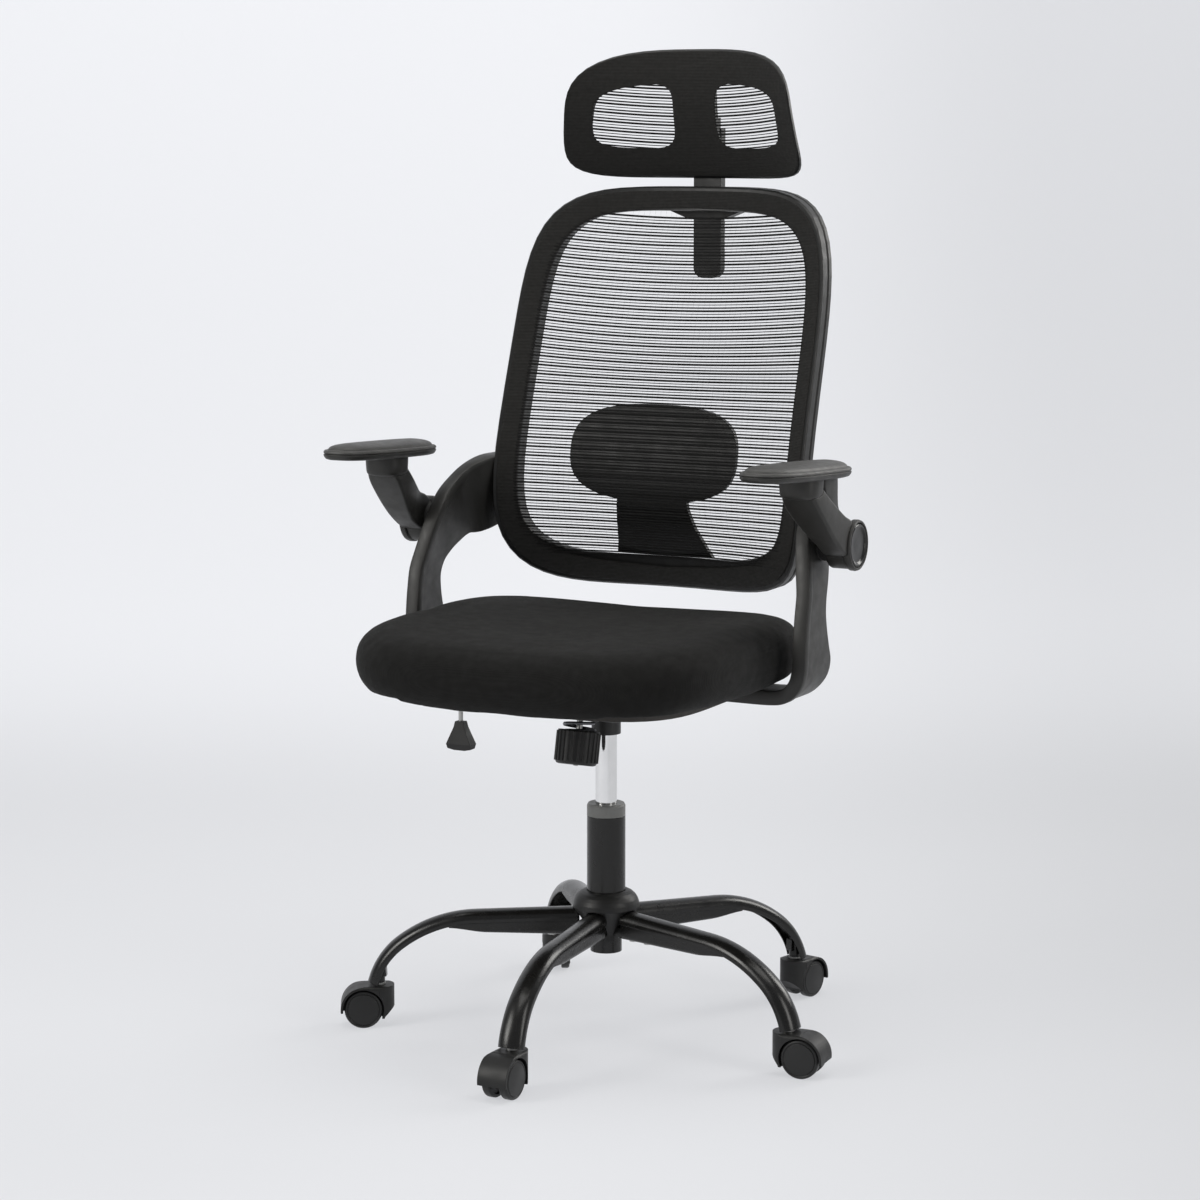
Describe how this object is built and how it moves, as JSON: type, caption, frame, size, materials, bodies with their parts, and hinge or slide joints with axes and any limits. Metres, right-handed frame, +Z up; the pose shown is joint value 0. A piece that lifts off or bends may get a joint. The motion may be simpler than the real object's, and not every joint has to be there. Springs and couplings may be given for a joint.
{
  "type": "swivel office chair",
  "caption": "Swivel office chair with a curved mesh back, lumbar pad, adjustable headrest, flip-up arms, tilting seat and a gas lift on a star base with casters.",
  "frame": {"origin": "on the floor under the gas lift's axis", "axes": "+Z up along the lift, the sitter faces -Y, +X is the sitter's left"},
  "size_m": [0.6737, 0.674, 1.271],
  "materials": {
    "black_steel": "gloss",
    "pressed_steel": "satin",
    "zinc_steel": "satin",
    "ground_steel": "polished",
    "spring_steel": "satin",
    "chrome": "polished",
    "seal_rubber": "matte",
    "bush_plastic": "satin",
    "black_plastic": "matte",
    "grey_plastic": "satin",
    "gloss_plastic": "gloss",
    "wheel_nylon": "satin",
    "plywood": "matte",
    "seat_cloth": "matte",
    "mesh_cloth": "matte",
    "arm_rubber": "matte"
  },
  "bodies": {
    "base": {"base_hub": "black_steel", "base_leg_1": "black_steel", "base_leg_2": "black_steel", "base_leg_3": "black_steel", "base_leg_4": "black_steel", "base_leg_5": "black_steel", "leg_braces": "black_steel", "leg_bolts": "zinc_steel", "stem_sockets": "black_steel", "hub_cover": "black_plastic", "caster_stems": "zinc_steel", "lift_tube": "black_steel", "lift_bush": "bush_plastic", "lift_bearing": "zinc_steel"},
    "caster_1": {"caster_hood_1": "black_plastic"},
    "wheels_1": {"caster_wheels_1": "wheel_nylon"},
    "caster_2": {"caster_hood_2": "black_plastic"},
    "wheels_2": {"caster_wheels_2": "wheel_nylon"},
    "caster_3": {"caster_hood_3": "black_plastic"},
    "wheels_3": {"caster_wheels_3": "wheel_nylon"},
    "caster_4": {"caster_hood_4": "black_plastic"},
    "wheels_4": {"caster_wheels_4": "wheel_nylon"},
    "caster_5": {"caster_hood_5": "black_plastic"},
    "wheels_5": {"caster_wheels_5": "wheel_nylon"},
    "piston": {"piston_rod": "ground_steel", "lift_clip": "zinc_steel"},
    "chassis": {"gas_cylinder": "chrome", "rod_seal": "seal_rubber", "mechanism_housing": "pressed_steel", "tilt_pin": "zinc_steel", "tension_spring": "spring_steel"},
    "release": {"release_pin": "ground_steel"},
    "lever": {"height_lever": "zinc_steel", "lever_paddle": "black_plastic"},
    "tension_bolt": {"tension_bolt": "zinc_steel"},
    "tension_knob": {"tension_knob": "black_plastic"},
    "seat": {"seat_plate": "pressed_steel", "tension_pin": "zinc_steel", "seat_bolts": "zinc_steel", "seat_board": "plywood", "seat_cushion": "seat_cloth", "left_bracket": "grey_plastic", "right_bracket": "grey_plastic", "bracket_bolts": "zinc_steel", "back_frame": "black_plastic", "back_mesh": "mesh_cloth", "lumbar_support": "black_plastic", "headrest_receiver": "black_plastic"},
    "left_armrest": {"left_arm": "grey_plastic", "left_arm_cap": "gloss_plastic", "left_arm_pad": "arm_rubber"},
    "right_armrest": {"right_arm": "grey_plastic", "right_arm_cap": "gloss_plastic", "right_arm_pad": "arm_rubber"},
    "headrest_post": {"headrest_post": "black_plastic"},
    "headrest": {"headrest_frame": "black_plastic", "headrest_mesh": "mesh_cloth", "headrest_pin": "zinc_steel"}
  },
  "joints": [
    {"name": "caster_1_swivel", "type": "hinge", "parent": "base", "child": "caster_1", "pos_m": [-0.27781, -0.11055, 0.0555], "axis": [0, 0, 1], "continuous": true},
    {"name": "caster_1_roll", "type": "hinge", "parent": "caster_1", "child": "wheels_1", "pos_m": [-0.296, -0.12105, 0.025], "axis": [0.5, -0.866, 0], "continuous": true},
    {"name": "caster_2_swivel", "type": "hinge", "parent": "base", "child": "caster_2", "pos_m": [0.01929, -0.29838, 0.0555], "axis": [0, 0, 1], "continuous": true},
    {"name": "caster_2_roll", "type": "hinge", "parent": "caster_2", "child": "wheels_2", "pos_m": [0.01856, -0.31936, 0.025], "axis": [0.9994, -0.0349, 0], "continuous": true},
    {"name": "caster_3_swivel", "type": "hinge", "parent": "base", "child": "caster_3", "pos_m": [0.28974, -0.07385, 0.0555], "axis": [0, 0, 1], "continuous": true},
    {"name": "caster_3_roll", "type": "hinge", "parent": "caster_3", "child": "wheels_3", "pos_m": [0.31071, -0.07275, 0.025], "axis": [-0.0523, 0.9986, 0], "continuous": true},
    {"name": "caster_4_swivel", "type": "hinge", "parent": "base", "child": "caster_4", "pos_m": [0.15977, 0.25273, 0.0555], "axis": [0, 0, 1], "continuous": true},
    {"name": "caster_4_roll", "type": "hinge", "parent": "caster_4", "child": "wheels_4", "pos_m": [0.1645, 0.2732, 0.025], "axis": [-0.9744, 0.225, 0], "continuous": true},
    {"name": "caster_5_swivel", "type": "hinge", "parent": "base", "child": "caster_5", "pos_m": [-0.19099, 0.23005, 0.0555], "axis": [0, 0, 1], "continuous": true},
    {"name": "caster_5_roll", "type": "hinge", "parent": "caster_5", "child": "wheels_5", "pos_m": [-0.20053, 0.24876, 0.025], "axis": [-0.891, -0.454, 0], "continuous": true},
    {"name": "swivel", "type": "hinge", "parent": "base", "child": "piston", "pos_m": [0, 0, 0], "axis": [0, 0, 1], "continuous": true},
    {"name": "height", "type": "slide", "parent": "piston", "child": "chassis", "axis": [0, 0, 1], "range_m": [-0.08, 0.02]},
    {"name": "lever_lift", "type": "hinge", "parent": "chassis", "child": "lever", "pos_m": [-0.0395, -0.06, 0.44828], "axis": [0, 1, 0], "range_deg": [0, 5.4], "stiffness_Nm_per_rad": 2, "springref_deg": -5.73},
    {"name": "release_push", "type": "slide", "parent": "chassis", "child": "release", "axis": [0, 0, 1], "range_m": [-0.0038, 0]},
    {"name": "tilt", "type": "hinge", "parent": "chassis", "child": "seat", "pos_m": [0, -0.035, 0.43298], "axis": [-1, 0, 0], "range_deg": [0, 15], "stiffness_Nm_per_rad": 60, "springref_deg": -17.19, "deforming": ["tension_spring"]},
    {"name": "tension_bolt_lift", "type": "slide", "parent": "chassis", "child": "tension_bolt", "axis": [0, 0.225, 0.9744], "range_m": [0, 0.0098]},
    {"name": "tension_adjust", "type": "hinge", "parent": "tension_bolt", "child": "tension_knob", "pos_m": [0, -0.072, 0.43654], "axis": [0, 0.225, 0.9744], "continuous": true},
    {"name": "left_arm_flip", "type": "hinge", "parent": "seat", "child": "left_armrest", "pos_m": [0.286, 0.061, 0.65198], "axis": [-1, 0, 0], "range_deg": [0, 90]},
    {"name": "right_arm_flip", "type": "hinge", "parent": "seat", "child": "right_armrest", "pos_m": [-0.286, 0.061, 0.65198], "axis": [-1, 0, 0], "range_deg": [0, 90]},
    {"name": "headrest_height", "type": "slide", "parent": "seat", "child": "headrest_post", "axis": [0, 0, 1], "range_m": [0, 0.05]},
    {"name": "headrest_tilt", "type": "hinge", "parent": "headrest_post", "child": "headrest", "pos_m": [0, 0.296, 1.16898], "axis": [-1, 0, 0], "range_deg": [0, 20]}
  ],
  "couplings": [
    {"joint": "release_push", "follows": "lever_lift", "m_per_rad": -0.0395},
    {"joint": "tension_bolt_lift", "follows": "tilt", "m_per_rad": 0.037065}
  ]
}
